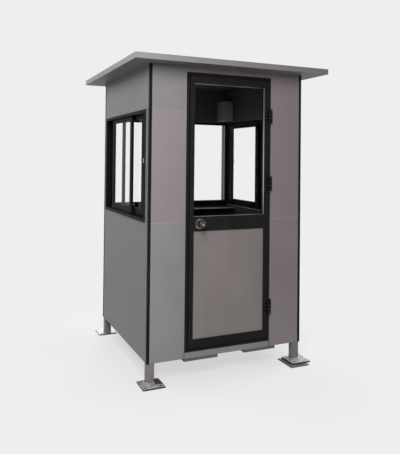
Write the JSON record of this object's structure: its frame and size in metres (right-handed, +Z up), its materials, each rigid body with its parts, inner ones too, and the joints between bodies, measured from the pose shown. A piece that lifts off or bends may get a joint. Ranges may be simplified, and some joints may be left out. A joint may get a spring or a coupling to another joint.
{
  "type": "security guard booth",
  "caption": "Small square guard booth on box-steel legs: panel walls, glazed hinged door with knob lock, wide windows on the other walls and a flat overhanging roof.",
  "frame": {"origin": "centre of the booth's footprint at ground level, on the undersides of the foot plates", "axes": "+Z up, +X to the right along the door wall as seen from outside, +Y from the door wall into the booth"},
  "size_m": [1.55, 1.55, 2.272],
  "materials": {
    "painted_steel": "satin grey paint on box section",
    "galvanised_plate": "grey painted steel plate",
    "bearer_grey": "grey painted steel",
    "floor_board": "dark vinyl on board",
    "dark_lining": "black composite sheet",
    "soffit_grey": "dark grey composite sheet",
    "box_plastic": "dark grey moulded plastic",
    "roof_sheet": "light grey painted sheet",
    "roof_fascia": "light grey painted sheet",
    "window_glass": "clear float glass",
    "bead_silver": "natural anodised",
    "panel_grey": "grey coated aluminium composite sheet",
    "hinge_black": "black powder coat",
    "lock_nickel": "satin nickel",
    "black_aluminium": "black powder-coated aluminium"
  },
  "bodies": {
    "booth": {"back_lower_panel": "panel_grey", "back_shelf": "dark_lining", "back_upper_panel": "panel_grey", "back_wall_lining": "dark_lining", "back_window_frame": "black_aluminium", "back_window_glass": "window_glass", "base_plates": "galvanised_plate", "ceiling_lining": "dark_lining", "corner_trims": "black_aluminium", "door_frame": "black_aluminium", "door_stops": "black_aluminium", "floor_bearers": "bearer_grey", "floor_board": "floor_board", "floor_frame": "painted_steel", "floor_joists": "painted_steel", "front_header_panel": "panel_grey", "front_left_panel": "panel_grey", "front_left_post": "painted_steel", "front_right_packing_plate": "galvanised_plate", "front_right_panel": "panel_grey", "front_right_post": "painted_steel", "front_wall_lining": "dark_lining", "hinge_frame_plates": "hinge_black", "junction_box": "box_plastic", "left_lower_panel": "panel_grey", "left_upper_panel": "panel_grey", "left_wall_lining": "dark_lining", "left_window_frame": "black_aluminium", "left_window_glass": "window_glass", "left_window_sashes": "black_aluminium", "rear_left_post": "painted_steel", "rear_right_post": "painted_steel", "right_lower_panel": "panel_grey", "right_upper_panel": "panel_grey", "right_wall_lining": "dark_lining", "right_window_frame": "black_aluminium", "right_window_glass": "window_glass", "right_window_sashes": "black_aluminium", "roof_deck": "roof_sheet", "roof_fascia": "roof_fascia", "roof_frame": "painted_steel", "soffit_panel": "soffit_grey", "threshold_panel": "panel_grey", "wall_frame": "painted_steel", "window_keepers": "lock_nickel", "window_side_strips": "panel_grey"},
    "door": {"door_glass": "window_glass", "door_glass_bead": "bead_silver", "door_lower_panel": "panel_grey", "door_rails": "black_aluminium", "door_stiles": "black_aluminium", "hinge_door_plates": "hinge_black", "lock_roses": "lock_nickel"},
    "knob": {"door_knobs": "lock_nickel"}
  },
  "joints": [
    {"name": "door_hinge", "type": "hinge", "parent": "booth", "child": "door", "pos_m": [0.3245, -0.648, 1.19], "axis": [0, 0, 1], "range_deg": [0, 110]},
    {"name": "knob_turn", "type": "hinge", "parent": "door", "child": "knob", "pos_m": [-0.242, -0.62, 1.101], "axis": [0, 1, 0], "range_deg": [-60, 60], "stiffness_Nm_per_rad": 0.3}
  ]
}
